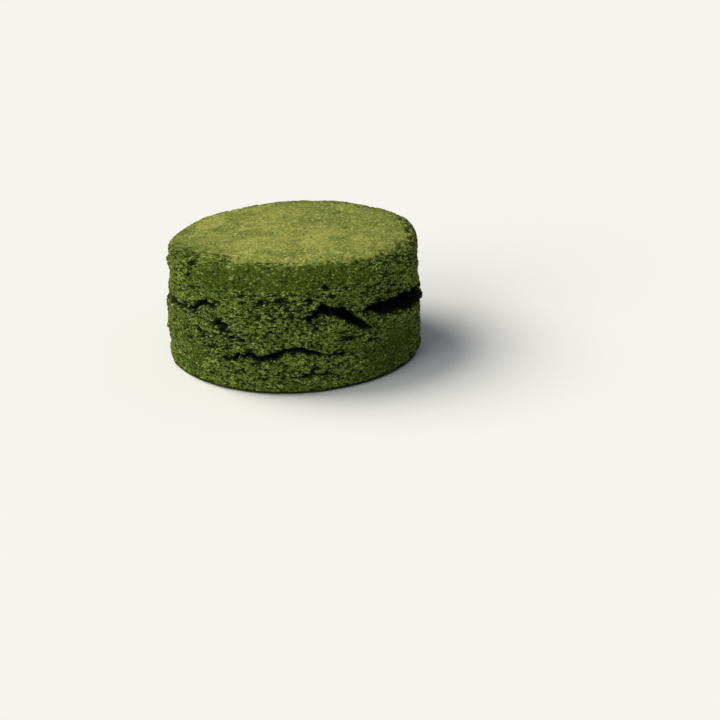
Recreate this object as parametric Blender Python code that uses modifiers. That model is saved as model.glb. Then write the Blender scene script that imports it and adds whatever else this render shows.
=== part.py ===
"""A round green tea scone, standing on its flat underside.

The dough was cut with a plain round cutter, so the scone is a low drum with a slightly domed
top. Its side rose in layers and split, which left open cracks with a lip below each.

Frame: metres, +Z up, the origin at the centre of the underside, and -Y the side with the
long low crack. Angles run round the side from -Y (0) towards +X (90).
"""

import math
import random

import bmesh
import bpy
from mathutils import Vector, noise

MM = 0.001

# Driving dimensions
BASE_RADIUS = 29.6 * MM
RIM_RADIUS = 28.9 * MM
RIM_HEIGHT = 27.0 * MM
CROWN = 0.6 * MM  # how far the middle of the top stands over its rim
TAPER_START = 8.0 * MM  # the height from which the side draws in towards the rim
LEAN = 1.0 * MM  # how far the rim stands to +X of the base
RIM_ROUNDING = 1.4 * MM
FOOT_ROUNDING = 1.0 * MM
SHOULDER = 8.5 * MM  # the broad rounding of the rim where it sank in baking
SHOULDER_ANGLE = math.radians(15)
SHOULDER_SPREAD = math.radians(95)
DROOP = 1.0 * MM  # how far the top sank towards that shoulder
DROOP_START = 15.0 * MM  # the radius from which it sank

# How finely the drum is divided
TURN_STEPS = 132
WALL_ROWS = 17
ROUNDING_ROWS = 2
TOP_RINGS = (0.0, 10.0 * MM, 16.5 * MM, 20.5 * MM, 23.0 * MM, 25.5 * MM)

# Uneven rise of the side
OUTLINE_WAVES = ((2, -0.002, 0.014), (3, -0.004, 0.004), (5, 0.003, -0.003))
SWELL_SIZE = 11.0 * MM
SWELL_DEPTH = 0.45 * MM
LAYER_LENGTH = 5.0 * MM
LAYER_HEIGHT = 2.2 * MM
LAYER_DEPTH = 0.42 * MM
TOP_WAVE_SIZE = 12.0 * MM
TOP_WAVE_DEPTH = 0.30 * MM

# Cracks
CRACK_STEP = 1.6 * MM
CRACK_OVERSHOOT = 2.5 * MM  # how far a cutter stands out of the side
CRACK_TIP = 0.10 * MM
CRACK_STRAY = ((4.3 * MM, 0.55 * MM), (1.9 * MM, 0.30 * MM))  # (length, size) of its bends
LIP_HEIGHT = 3.0 * MM
LIP_OUT = 0.55 * MM

# Pores
PORE_DEPTH = 1.3  # into the side, in mm
PORE_END = 0.3  # the opening at a pore's ends, in mm
SPREAD_SEED = 4
SPREAD_COUNT = 9
SPREAD_ANGLES = (78.0, 282.0)  # in degrees
SPREAD_HEIGHTS = (5.0, 22.5)  # in mm
SPREAD_CLEARANCE = 3.2 * MM

# Each crack is (name, depth in mm, stops), and each stop is (angle in degrees, height in mm,
# opening in mm), from the crack's left end to its right end.
CRACKS = (
    ("low_front", 5.0, (
        (-37, 7.2, 0.3), (-29, 8.1, 0.8), (-23, 9.0, 0.9), (-19, 9.8, 1.0), (-13, 8.9, 1.3),
        (-7, 9.5, 1.4), (-2, 10.4, 1.0), (3, 11.1, 1.2), (8, 10.4, 1.0), (14, 9.3, 0.8),
        (20, 8.7, 0.6), (29, 9.0, 0.3),
    )),
    ("arched_front", 6.5, (
        (5, 17.8, 0.4), (11, 18.4, 1.2), (15, 18.9, 1.8), (19, 18.8, 2.1), (23, 18.0, 2.5),
        (27, 16.7, 2.6), (31, 15.0, 1.9), (35, 14.0, 0.9), (38, 13.7, 0.3),
    )),
    ("right_mouth", 8.5, (
        (32, 17.0, 0.5), (37, 17.3, 1.8), (44, 17.1, 3.0), (53, 16.3, 4.0), (63, 15.8, 4.3),
        (75, 15.6, 3.6), (87, 15.0, 2.2), (97, 14.2, 1.0), (104, 13.8, 0.3),
    )),
    ("left_seam", 4.5, (
        (-112, 13.0, 0.3), (-98, 13.6, 0.9), (-86, 14.6, 1.2), (-76, 16.0, 1.3),
        (-68, 16.9, 1.2), (-56, 17.0, 1.0), (-50, 17.7, 1.0), (-44, 19.2, 1.1),
        (-38, 19.3, 0.8), (-31, 19.8, 0.3),
    )),
    ("foot_front", 2.5, (
        (-3, 4.0, 0.25), (3, 4.2, 0.6), (8, 4.9, 0.8), (13, 4.3, 0.6), (20, 3.9, 0.25),
    )),
    ("left_pit", 3.2, (
        (-39, 15.3, 0.4), (-36, 15.5, 1.6), (-33, 15.2, 1.4), (-27, 14.5, 0.4),
    )),
    ("back_mouth", 8.0, (
        (118, 18.6, 0.3), (127, 18.3, 1.2), (139, 17.2, 2.3), (151, 15.4, 2.9),
        (162, 14.6, 2.6), (173, 13.0, 2.9), (184, 11.4, 2.2), (194, 10.8, 1.1),
        (203, 10.6, 0.3),
    )),
    ("back_seam", 5.0, (
        (186, 18.4, 0.3), (197, 17.6, 1.1), (208, 17.9, 1.5), (220, 16.8, 1.3),
        (232, 16.9, 0.8), (240, 16.3, 0.3),
    )),
    ("back_foot", 3.5, (
        (112, 7.4, 0.3), (123, 7.0, 0.9), (136, 8.0, 1.1), (148, 7.0, 0.8), (157, 6.6, 0.3),
    )),
    ("left_foot", 3.5, (
        (212, 7.2, 0.3), (224, 7.8, 0.9), (238, 7.0, 1.2), (250, 7.6, 0.8), (260, 7.3, 0.3),
    )),
)

# Each pore is (angle in degrees, height in mm, half its length in degrees, opening in mm).
PORES = (
    (-53.5, 24.6, 2.0, 0.9), (-46.0, 12.8, 2.2, 1.2), (-40.0, 9.3, 4.5, 0.9),
    (-27.5, 12.7, 2.0, 0.9), (-22.5, 12.3, 2.0, 0.9), (-22.0, 22.4, 1.9, 1.0),
    (-22.0, 5.2, 2.0, 0.8), (-12.5, 20.9, 2.6, 1.2), (-12.0, 3.9, 2.0, 0.7),
    (-3.0, 21.5, 4.0, 0.7), (9.0, 21.5, 4.0, 0.7), (18.0, 23.2, 2.0, 0.8),
    (26.5, 11.9, 4.5, 0.7), (37.0, 10.2, 4.0, 0.9),
)


def clear_scene():
    """Remove whatever the scene holds."""
    for old in list(bpy.data.objects):
        bpy.data.objects.remove(old)


def collection(name):
    """A new collection in the scene."""
    made = bpy.data.collections.new(name)
    bpy.context.scene.collection.children.link(made)
    return made


def smooth_step(share):
    """0 up to 0, 1 from 1 on, and an even slope between."""
    share = min(max(share, 0.0), 1.0)
    return share * share * (3.0 - 2.0 * share)


def turned_away(angle, centre):
    """How far an angle lies from a centre, in radians, the short way round."""
    return abs((angle - centre + math.pi) % math.tau - math.pi)


def on_side(angle, radius, height):
    """A point at an angle round the scone."""
    return Vector((radius * math.sin(angle), -radius * math.cos(angle), height))


# ---------------------------------------------------------------- the turned drum


def rounding(centre_radius, centre_height, size, start, end, rows):
    """Points of a rounded edge, from one slope to another, in radians over the horizontal."""
    slopes = [start + (end - start) * row / rows for row in range(rows + 1)]
    return [
        (centre_radius + size * math.cos(slope), centre_height + size * math.sin(slope))
        for slope in slopes
    ]


def profile_points():
    """The drum's half outline as (radius, height), down its outer side from top to bottom."""
    rim_start, foot_start = RIM_RADIUS - RIM_ROUNDING, BASE_RADIUS - FOOT_ROUNDING
    top, bottom = RIM_HEIGHT - RIM_ROUNDING, FOOT_ROUNDING
    points = [(ring, RIM_HEIGHT + CROWN * (1 - (ring / rim_start) ** 2)) for ring in TOP_RINGS]
    points += rounding(rim_start, top, RIM_ROUNDING, math.pi / 2, 0, ROUNDING_ROWS)
    for row in range(1, WALL_ROWS):
        height = top + (bottom - top) * row / WALL_ROWS
        drawn_in = smooth_step((height - TAPER_START) / (top - TAPER_START))
        points.append((BASE_RADIUS + (RIM_RADIUS - BASE_RADIUS) * drawn_in, height))
    points += rounding(foot_start, bottom, FOOT_ROUNDING, 0, -math.pi / 2, ROUNDING_ROWS)
    return points + [(0.0, 0.0)]


def turned_drum(name, home):
    """The smooth drum, as a mesh turned from its half outline."""
    points = profile_points()
    half = bpy.data.meshes.new(name + "_outline")
    half.from_pydata(
        [(radius, 0.0, height) for radius, height in points],
        [(index, index + 1) for index in range(len(points) - 1)],
        [],
    )
    turned = bpy.data.objects.new(name, half)
    home.objects.link(turned)
    screw = turned.modifiers.new("Turn", "SCREW")
    screw.axis = "Z"
    screw.steps = screw.render_steps = TURN_STEPS
    screw.use_merge_vertices = True
    screw.merge_threshold = 0.01 * MM
    graph = bpy.context.evaluated_depsgraph_get()
    turned.data = bpy.data.meshes.new_from_object(turned.evaluated_get(graph))
    turned.data.name = name
    turned.modifiers.clear()
    return turned


# ---------------------------------------------------------------- cracks


def crack_at(stops, angle):
    """(height, opening) of a crack at an angle, or None beyond its ends. Angles in radians."""
    first = math.radians(stops[0][0])
    angle = first + (angle - first) % math.tau
    for left, right in zip(stops, stops[1:]):
        start, end = math.radians(left[0]), math.radians(right[0])
        if start <= angle <= end:
            share = smooth_step((angle - start) / (end - start))
            return tuple((a + (b - a) * share) * MM for a, b in zip(left[1:], right[1:]))
    return None


def stray(seed, angle, line):
    """How far one of a crack's uneven lines strays up or down at an angle."""
    return sum(
        size * noise.noise(Vector((angle * BASE_RADIUS / length, 7.3 * line, seed + length / MM)))
        for length, size in CRACK_STRAY
    )


def crack_section(depth, stops, share):
    """Where a crack's four edges lie at a share of its length.

    Returns the angle, the radii of its mouth and root, and the heights of the mouth's lower
    and upper edge and of the root's.
    """
    start, end = math.radians(stops[0][0]), math.radians(stops[-1][0])
    angle = start + (end - start) * min(max(share, 1e-5), 1 - 1e-5)
    height, opening = crack_at(stops, angle)
    fullness = smooth_step(4 * share) * smooth_step(4 * (1 - share))
    deep = (0.25 + 0.75 * fullness) * depth * MM
    seed = stops[0][1]
    height += stray(seed, angle, 0)
    mouth = CRACK_TIP + (opening / 2 - CRACK_TIP) * (deep + CRACK_OVERSHOOT) / deep
    uneven = min(1.0, opening / MM)
    upper = height + mouth + uneven * stray(seed, angle, 1)
    lower = height - mouth + uneven * stray(seed, angle, 2)
    radii = (BASE_RADIUS + CRACK_OVERSHOOT, BASE_RADIUS - deep)
    return angle, radii, (lower, upper), (height - CRACK_TIP, height + CRACK_TIP)


def crack_cutter(name, depth, stops, home):
    """A thin uneven wedge that follows a crack, wide outside the scone and narrow inside."""
    length = math.radians(stops[-1][0] - stops[0][0]) * BASE_RADIUS
    shape = bmesh.new()
    bmesh.ops.create_cube(shape, size=2.0)
    lengthways = [
        edge for edge in shape.edges if abs(edge.verts[0].co.x - edge.verts[1].co.x) > 1
    ]
    cuts = max(3, round(length / CRACK_STEP) - 1)
    bmesh.ops.subdivide_edges(shape, edges=lengthways, cuts=cuts, use_grid_fill=True)
    for vertex in shape.verts:
        inside, upper = vertex.co.y > 0, vertex.co.z > 0
        angle, radii, mouth, root = crack_section(depth, stops, (vertex.co.x + 1) / 2)
        heights = root if inside else mouth
        vertex.co = on_side(angle, radii[inside], heights[upper])
    bmesh.ops.triangulate(shape, faces=shape.faces)
    mesh = bpy.data.meshes.new("crack_" + name)
    shape.to_mesh(mesh)
    shape.free()
    cutter = bpy.data.objects.new("crack_" + name, mesh)
    cutter.hide_render = True
    cutter.display_type = "WIRE"
    home.objects.link(cutter)


def pore(angle, height, half, opening):
    """One short open pore, in the form of CRACKS. Its sizes hold where it meets the side."""
    fallen = height * MM - moved(on_side(math.radians(angle), RIM_RADIUS, height * MM)).z
    side = moved(on_side(math.radians(angle), RIM_RADIUS, height * MM + fallen))
    depth = PORE_DEPTH + (BASE_RADIUS - math.hypot(side.x, side.y)) / MM
    wider = depth / PORE_DEPTH
    ends = [(end, height, PORE_END * wider) for end in (angle - half, angle + half)]
    return (f"pore_{angle:.1f}", depth, (ends[0], (angle, height, opening * wider), ends[1]))


def pores():
    """The pores in PORES, and more over the rest of the side, clear of each other."""
    pick = random.Random(SPREAD_SEED)
    found = [pore(*row) for row in PORES]
    while len(found) < len(PORES) + SPREAD_COUNT:
        angle, height = pick.uniform(*SPREAD_ANGLES), pick.uniform(*SPREAD_HEIGHTS)
        half, opening = pick.uniform(2.4, 4.2), pick.uniform(1.0, 1.7)
        taken = (crack_at(stops, math.radians(angle)) for _, _, stops in (*CRACKS, *found))
        clear = (abs(at[0] - height * MM) > SPREAD_CLEARANCE for at in taken if at)
        if all(clear):
            found.append(pore(angle, height, half, opening))
    return tuple(found)


# ---------------------------------------------------------------- relief


def outline_scale(angle):
    """How much wider or narrower than a circle the scone is at an angle."""
    return 1 + sum(
        even * math.cos(count * angle) + odd * math.sin(count * angle)
        for count, even, odd in OUTLINE_WAVES
    )


def lip(angle, height):
    """How far the side stands out below a crack."""
    out = 0.0
    for _, _, stops in CRACKS:
        found = crack_at(stops, angle)
        if found is None:
            continue
        below = found[0] - found[1] / 2 - height
        if 0 <= below < LIP_HEIGHT:
            fullness = min(1.0, found[1] / MM)
            out = max(out, LIP_OUT * fullness * (1 - smooth_step(below / LIP_HEIGHT)))
    return out


def layers(angle, height):
    """Flat uneven layers, longer than they are high."""
    seat = Vector((
        BASE_RADIUS * math.cos(angle) / LAYER_LENGTH,
        BASE_RADIUS * math.sin(angle) / LAYER_LENGTH,
        height / LAYER_HEIGHT,
    ))
    return LAYER_DEPTH * noise.noise(seat) * 1.6


def sunk(angle, radius, height):
    """(radius, height) of a point once the front of the rim has sunk to a broad shoulder."""
    share = 1 - smooth_step(turned_away(angle, SHOULDER_ANGLE) / SHOULDER_SPREAD)
    out = radius - (RIM_RADIUS - SHOULDER)
    up = height - (RIM_HEIGHT - SHOULDER)
    if out > 0 and up > 0:
        kept = 1 + share * (min(1.0, SHOULDER / math.hypot(out, up)) - 1)
        radius = RIM_RADIUS - SHOULDER + out * kept
        height = RIM_HEIGHT - SHOULDER + up * kept
    droop = smooth_step((radius - DROOP_START) / (RIM_RADIUS - DROOP_START))
    upper = smooth_step(up / SHOULDER)
    return radius, height - DROOP * share * droop * upper


def moved(point):
    """Where a point of the smooth drum lies on the uneven scone."""
    lean = LEAN * smooth_step(point.z / RIM_HEIGHT)
    angle = math.atan2(point.x + lean, -point.y)
    radius, height = sunk(angle, math.hypot(point.x, point.y), point.z)
    swell = SWELL_DEPTH * 1.6 * noise.noise(point / SWELL_SIZE)
    under_rim = smooth_step((RIM_HEIGHT - point.z) / (3 * MM))
    relief = swell + (layers(angle, height) + lip(angle, height)) * under_rim
    outer = smooth_step(radius / RIM_RADIUS * 5 - 4) * smooth_step(height / (2.5 * MM))
    on_top = smooth_step((point.z - RIM_HEIGHT + 4 * MM) / (4 * MM))
    wave = TOP_WAVE_DEPTH * 1.6 * noise.noise(point / TOP_WAVE_SIZE + Vector((3, 1, 4)))
    found = on_side(angle, radius * outline_scale(angle) + outer * relief, height + on_top * wave)
    found.x += lean
    return found


# ---------------------------------------------------------------- the scone


def scone_material():
    """Baked green tea dough: deep green, dry and matt."""
    made = bpy.data.materials.new("baked_green_dough")
    made.use_nodes = True
    shader = made.node_tree.nodes["Principled BSDF"]
    shader.inputs["Base Color"].default_value = (0.150, 0.190, 0.035, 1.0)
    shader.inputs["Roughness"].default_value = 0.9
    shader.inputs["Metallic"].default_value = 0.0
    return made


def build_scone():
    """The whole scone, one solid."""
    home = collection("green_tea_scone")
    cutters = collection("cracks")
    cutters.hide_render = True
    scone = turned_drum("scone", home)
    for vertex in scone.data.vertices:
        vertex.co = moved(vertex.co)
    for name, depth, stops in CRACKS + pores():
        crack_cutter(name, depth, stops, cutters)
    split = scone.modifiers.new("Split", "BOOLEAN")
    split.operation = "DIFFERENCE"
    split.solver = "EXACT"
    split.operand_type = "COLLECTION"
    split.collection = cutters
    scone.data.materials.append(scone_material())
    scone.data.shade_smooth()
    scone.data.set_sharp_from_angle(angle=math.radians(50))
    return scone


clear_scene()
build_scone()
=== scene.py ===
"""Dresses a packed green tea scone in its baked look.

The scone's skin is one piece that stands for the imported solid: a low drum with a matt top crust
and a crumbly layered side, with open cracks and pores that are all in its mesh. A second piece
holds the loose crumbs that cling to the side. Lengths are in millimetres up to the point where
a mesh is made, and angles run round the side from -Y (0) towards +X (90).
"""

import logging
import math
import random
from dataclasses import dataclass, field
from enum import Enum
from typing import NamedTuple, Sequence

import bmesh
import bpy
from mathutils import Matrix, Vector, noise


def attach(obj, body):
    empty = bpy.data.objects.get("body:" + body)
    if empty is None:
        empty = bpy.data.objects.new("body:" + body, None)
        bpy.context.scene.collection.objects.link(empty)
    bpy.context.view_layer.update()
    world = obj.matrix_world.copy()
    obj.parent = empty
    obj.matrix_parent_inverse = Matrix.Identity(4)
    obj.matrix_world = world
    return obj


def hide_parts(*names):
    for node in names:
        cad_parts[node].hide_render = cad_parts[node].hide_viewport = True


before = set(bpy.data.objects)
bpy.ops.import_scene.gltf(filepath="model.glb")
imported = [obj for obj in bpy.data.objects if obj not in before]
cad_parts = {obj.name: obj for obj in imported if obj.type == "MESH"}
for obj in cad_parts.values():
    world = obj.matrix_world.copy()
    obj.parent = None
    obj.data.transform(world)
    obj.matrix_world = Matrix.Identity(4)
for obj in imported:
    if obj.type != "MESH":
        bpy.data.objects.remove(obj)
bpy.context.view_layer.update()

LOG = logging.getLogger("scone")
MM = 0.001
NOISE_GAIN = 1.6  # Blender's noise seldom passes 0.6, and this brings it up to about 1

Socket = bpy.types.NodeSocket
Tree = bpy.types.NodeTree
Link = tuple[Socket, str | int]
Profile = list[tuple[float, float]]


# ---------------------------------------------------------------- helpers


def smooth_step(share: float) -> float:
    """0 up to 0, 1 from 1 on, and an even slope between."""
    share = min(max(share, 0.0), 1.0)
    return share * share * (3.0 - 2.0 * share)


def at_least(least: float, share: float) -> float:
    """A share from 0 to 1, drawn up so that it starts from a least value."""
    return least + (1.0 - least) * share


def on_side(angle: float, radius: float, height: float) -> Vector:
    """A point at an angle in radians round the scone."""
    return Vector((radius * math.sin(angle), -radius * math.cos(angle), height))


def stretched(place: Vector, length: float, height: float, shift: float = 0.0) -> Vector:
    """A place in units of a feature's length and height, for looking up a pattern.

    Args:
        place: the place in mm.
        length: the feature's size across, in mm.
        height: its size upwards, in mm.
        shift: moves the pattern, so that two of one size differ.

    Returns:
        The place to look up.
    """
    return Vector((place.x / length + shift, place.y / length, place.z / height - shift))


def linear(colour: str) -> tuple[float, float, float, float]:
    """An sRGB hex colour as linear red, green, blue and alpha.

    Args:
        colour: six hex digits after a #.

    Returns:
        The four linear values, alpha being 1.
    """
    shares = [int(colour[at : at + 2], 16) / 255 for at in (1, 3, 5)]
    turned = [s / 12.92 if s <= 0.04045 else ((s + 0.055) / 1.055) ** 2.4 for s in shares]
    return (turned[0], turned[1], turned[2], 1.0)


def add_node(
    tree: Tree, kind: str, links: Sequence[Link] = (), **settings: object
) -> bpy.types.Node:
    """Adds one node to a tree.

    Args:
        tree: the material's or the world's tree.
        kind: the node's type, such as ShaderNodeMix.
        links: pairs of a socket to link from and the name or number of the input it goes to.
        settings: the node's own settings, or an input's value where the name is one of its
            inputs with the spaces written as underscores.

    Returns:
        The node.
    """
    node = tree.nodes.new(kind)
    inputs = {socket.name.replace(" ", "_"): socket for socket in reversed(node.inputs)}
    for name, value in settings.items():
        if name in inputs:
            inputs[name].default_value = value
        else:
            setattr(node, name, value)
    for source, target in links:
        tree.links.new(source, node.inputs[target])
    return node


def new_piece(name: str, shape: bmesh.types.BMesh, finish: bpy.types.Material) -> bpy.types.Object:
    """Turns a shape into an object of the scene.

    Args:
        name: the object's and the mesh's name.
        shape: the shape in metres, which is freed.
        finish: the material of all its faces.

    Returns:
        The object, at the origin.
    """
    for face in shape.faces:
        face.smooth = True
    mesh = bpy.data.meshes.new(name)
    shape.to_mesh(mesh)
    shape.free()
    mesh.materials.append(finish)
    made = bpy.data.objects.new(name, mesh)
    bpy.context.scene.collection.objects.link(made)
    return made


# ---------------------------------------------------------------- cracks and pores


class Stop(NamedTuple):
    """A place along a crack."""

    angle: float  # in degrees
    height: float
    opening: float


class CrackLine(Enum):
    """The lines of a crack, each of which strays up and down in its own way."""

    MIDDLE = 0
    UPPER_EDGE = 1
    LOWER_EDGE = 2


@dataclass(frozen=True)
class Crack:
    """An open crack in the side, from its left end to its right end."""

    depth: float
    stops: tuple[Stop, ...]
    bends: tuple[tuple[float, float], ...] = ((4.3, 0.55), (1.9, 0.30))  # length and size
    radius: float = 29.6  # the side's, which turns angles into lengths
    line_shift: float = 7.3  # sets the bends of the three lines apart
    end_parts: float = 4.0  # each end narrows over one part in so many of the length

    def line(self, angle: float) -> tuple[float, float] | None:
        """The crack before it bends.

        Args:
            angle: in radians round the scone.

        Returns:
            Its height and opening there, or None beyond its ends.
        """
        first = math.radians(self.stops[0].angle)
        angle = first + (angle - first) % math.tau
        for left, right in zip(self.stops, self.stops[1:]):
            start, end = math.radians(left.angle), math.radians(right.angle)
            if start <= angle <= end:
                share = smooth_step((angle - start) / (end - start))
                height = left.height + (right.height - left.height) * share
                return height, left.opening + (right.opening - left.opening) * share
        return None

    def stray(self, angle: float, line: CrackLine) -> float:
        """How far one of the crack's lines strays up or down.

        Args:
            angle: in radians round the scone.
            line: which line.

        Returns:
            The way upwards.
        """
        shift, start = self.line_shift * line.value, self.stops[0].height
        return sum(
            size * noise.noise(Vector((angle * self.radius / length, shift, start + length)))
            for length, size in self.bends
        )

    def mouth(self, angle: float) -> tuple[float, float, float] | None:
        """Where the crack's mouth lies.

        Args:
            angle: in radians round the scone.

        Returns:
            The heights of the lower and the upper edge and the crack's fullness there, from 0
            at its ends to 1, or None beyond them.
        """
        found = self.line(angle)
        if found is None:
            return None
        first, last = (math.radians(self.stops[end].angle) for end in (0, -1))
        share = ((angle - first) % math.tau) / (last - first)
        height, opening = found
        height += self.stray(angle, CrackLine.MIDDLE)
        uneven = min(1.0, opening)
        fullness = smooth_step(self.end_parts * share) * smooth_step(self.end_parts * (1 - share))
        return (
            height - opening / 2 + uneven * self.stray(angle, CrackLine.LOWER_EDGE),
            height + opening / 2 + uneven * self.stray(angle, CrackLine.UPPER_EDGE),
            fullness,
        )


def crack(depth: float, *stops: tuple[float, float, float], unevenness: float = 1.0) -> Crack:
    """Describes one crack.

    Args:
        depth: how deep it goes where it is fullest.
        stops: its places from left to right, each an angle in degrees, a height and an opening.
        unevenness: how strongly its lines bend, where 1 is as most do.

    Returns:
        The crack.
    """
    bends = tuple((length, size * unevenness) for length, size in Crack.bends)
    return Crack(depth, tuple(Stop(*stop) for stop in stops), bends)


CRACKS = (
    # the long low crack in front
    crack(
        5.0, (-37, 7.2, 0.3), (-29, 8.1, 0.8), (-23, 9.0, 0.9), (-19, 9.8, 1.0),
        (-13, 8.9, 1.3), (-7, 9.5, 1.4), (-2, 10.4, 1.0), (3, 11.1, 1.2), (8, 10.4, 1.0),
        (14, 9.3, 0.8), (20, 8.7, 0.6), (29, 9.0, 0.3),
    ),
    # the arched one above it
    crack(
        6.5, (5, 17.8, 0.4), (9.5, 17.8, 1.0), (12.5, 18.4, 1.8), (15, 19.5, 2.4),
        (19.5, 19.4, 1.9), (23, 18.0, 2.8), (27, 16.5, 3.1), (31, 14.8, 2.1), (35, 14.0, 0.9),
        (38, 13.7, 0.3),
    ),
    # the wide mouth at the right
    crack(
        8.5, (32, 17.0, 0.5), (37, 17.3, 1.8), (44, 17.1, 3.0), (53, 16.3, 4.0),
        (63, 15.8, 4.3), (75, 15.6, 3.6), (87, 15.0, 2.2), (97, 14.2, 1.0), (104, 13.8, 0.3),
    ),
    # the seam round the left
    crack(
        4.5, (-112, 13.0, 0.3), (-98, 13.6, 0.9), (-86, 14.6, 1.2), (-76, 16.0, 1.3),
        (-68, 16.9, 1.2), (-56, 17.0, 1.0), (-50, 17.7, 1.0), (-44, 19.2, 1.1),
        (-38, 19.3, 0.8), (-31, 19.8, 0.3),
    ),
    # a short, nearly straight one by the foot
    crack(
        2.5, (-3, 4.0, 0.3), (3, 4.3, 0.5), (8, 4.8, 0.6), (13, 4.4, 0.5), (20, 4.0, 0.3),
        unevenness=0.25,
    ),
    # the deep pit at the left
    crack(3.2, (-39, 15.3, 0.4), (-36, 15.5, 1.6), (-33, 15.2, 1.4), (-27, 14.5, 0.4)),
    # those round the back
    crack(
        8.0, (118, 18.6, 0.3), (127, 18.3, 1.2), (139, 17.2, 2.3), (151, 15.4, 2.9),
        (162, 14.6, 2.6), (173, 13.0, 2.9), (184, 11.4, 2.2), (194, 10.8, 1.1),
        (203, 10.6, 0.3),
    ),
    crack(
        5.0, (186, 18.4, 0.3), (197, 17.6, 1.1), (208, 17.9, 1.5), (220, 16.8, 1.3),
        (232, 16.9, 0.8), (240, 16.3, 0.3),
    ),
    crack(
        3.5, (112, 7.4, 0.3), (123, 7.0, 0.9), (136, 8.0, 1.1), (148, 7.0, 0.8), (157, 6.6, 0.3)
    ),
    crack(
        3.5, (212, 7.2, 0.3), (224, 7.8, 0.9), (238, 7.0, 1.2), (250, 7.6, 0.8), (260, 7.3, 0.3)
    ),
)


@dataclass(frozen=True)
class PoreTable:
    """Small open pores of the side, each as angle, height, half its length and opening."""

    placed: tuple[tuple[float, float, float, float], ...] = (
        (-53.5, 24.6, 2.0, 0.9), (-46.0, 12.8, 2.2, 1.2), (-40.0, 9.3, 4.5, 0.9),
        (-27.5, 12.7, 2.0, 0.9), (-22.5, 12.3, 2.0, 0.9), (-22.0, 22.4, 1.9, 1.0),
        (-22.0, 5.2, 2.0, 0.8), (-12.5, 20.9, 2.6, 1.2), (-12.0, 3.9, 2.0, 0.7),
        (-3.0, 21.5, 4.0, 0.7), (9.0, 21.5, 4.0, 0.7), (18.0, 23.2, 2.0, 0.8),
        (26.5, 11.9, 4.5, 0.7), (37.0, 10.2, 4.0, 0.9),
    )
    depth: float = 1.3
    end_opening: float = 0.3
    spread_seed: int = 4
    spread_count: int = 9
    spread_angles: tuple[float, float] = (78.0, 282.0)
    spread_heights: tuple[float, float] = (5.0, 22.5)
    spread_halves: tuple[float, float] = (2.4, 4.2)
    spread_openings: tuple[float, float] = (1.0, 1.7)
    clearance: float = 3.2

    def pore(self, angle: float, height: float, half: float, opening: float) -> Crack:
        """One pore, as a short crack."""
        left, right = ((end, height, self.end_opening) for end in (angle - half, angle + half))
        return crack(self.depth, left, (angle, height, opening), right)

    def pores(self) -> tuple[Crack, ...]:
        """Finds a place for every pore.

        Returns:
            The placed pores, and more over the rest of the side, clear of each other.
        """
        pick = random.Random(self.spread_seed)
        found = [self.pore(*row) for row in self.placed]
        while len(found) < len(self.placed) + self.spread_count:
            angle, height = pick.uniform(*self.spread_angles), pick.uniform(*self.spread_heights)
            half, opening = pick.uniform(*self.spread_halves), pick.uniform(*self.spread_openings)
            taken = (other.line(math.radians(angle)) for other in (*CRACKS, *found))
            if all(abs(at[0] - height) > self.clearance for at in taken if at):
                found.append(self.pore(angle, height, half, opening))
        return tuple(found)


# ---------------------------------------------------------------- form


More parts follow.
